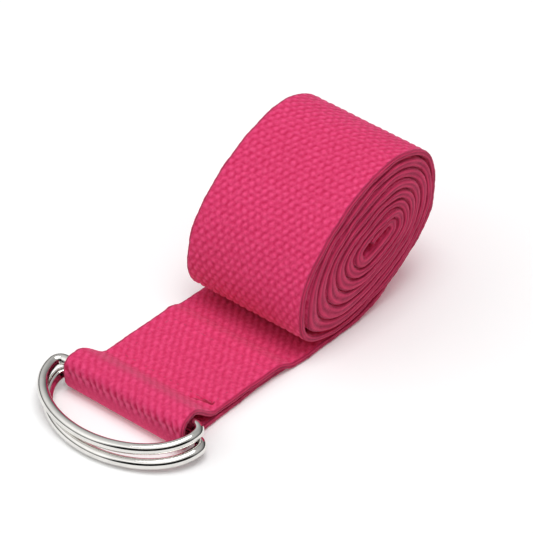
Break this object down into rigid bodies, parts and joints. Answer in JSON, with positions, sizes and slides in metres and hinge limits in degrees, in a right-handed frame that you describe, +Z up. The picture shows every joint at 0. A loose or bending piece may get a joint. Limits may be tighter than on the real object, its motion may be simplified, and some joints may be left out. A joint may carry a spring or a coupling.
{
  "type": "stretching strap",
  "caption": "Rolled flat cotton webbing strap with a box-stitched end loop that holds stacked metal D-rings, for cinching into a foot or wrist loop.",
  "frame": {"origin": "on the underside of the flat stretch of webbing that the roll rests on, at mid width", "axes": "+X along the roll's axis and the webbing's width, -Y the way the tail runs out to the rings, +Z up from the surface it lies on"},
  "size_m": [0.0501, 0.1137, 0.0438],
  "materials": {
    "cotton_webbing": "matt coarse-woven cotton tape, deep pink",
    "sewing_thread": "matt polyester sewing thread, pink to match the tape",
    "ring_metal": "bright chromed round wire"
  },
  "bodies": {
    "roll": {"webbing_roll": "cotton_webbing"},
    "tail": {"webbing_tail": "cotton_webbing", "box_seam_needle_thread": "sewing_thread", "box_seam_bobbin_thread": "sewing_thread"},
    "upper_ring": {"d_ring_upper": "ring_metal"},
    "lower_ring": {"d_ring_lower": "ring_metal"}
  },
  "joints": [
    {"name": "tail_lift", "type": "hinge", "parent": "roll", "child": "tail", "pos_m": [0, -0.01, 0.0016], "axis": [-1, 0, 0], "range_deg": [0, 50]},
    {"name": "upper_ring_swing", "type": "hinge", "parent": "tail", "child": "upper_ring", "pos_m": [-0.0003, -0.0524, 0.00644], "axis": [-0.9987, -0.0506, 0], "range_deg": [0, 175]},
    {"name": "lower_ring_swing", "type": "hinge", "parent": "tail", "child": "lower_ring", "pos_m": [0.0016, -0.053, 0.0033], "axis": [-0.9998, -0.0209, 0], "range_deg": [-120, 0]}
  ]
}
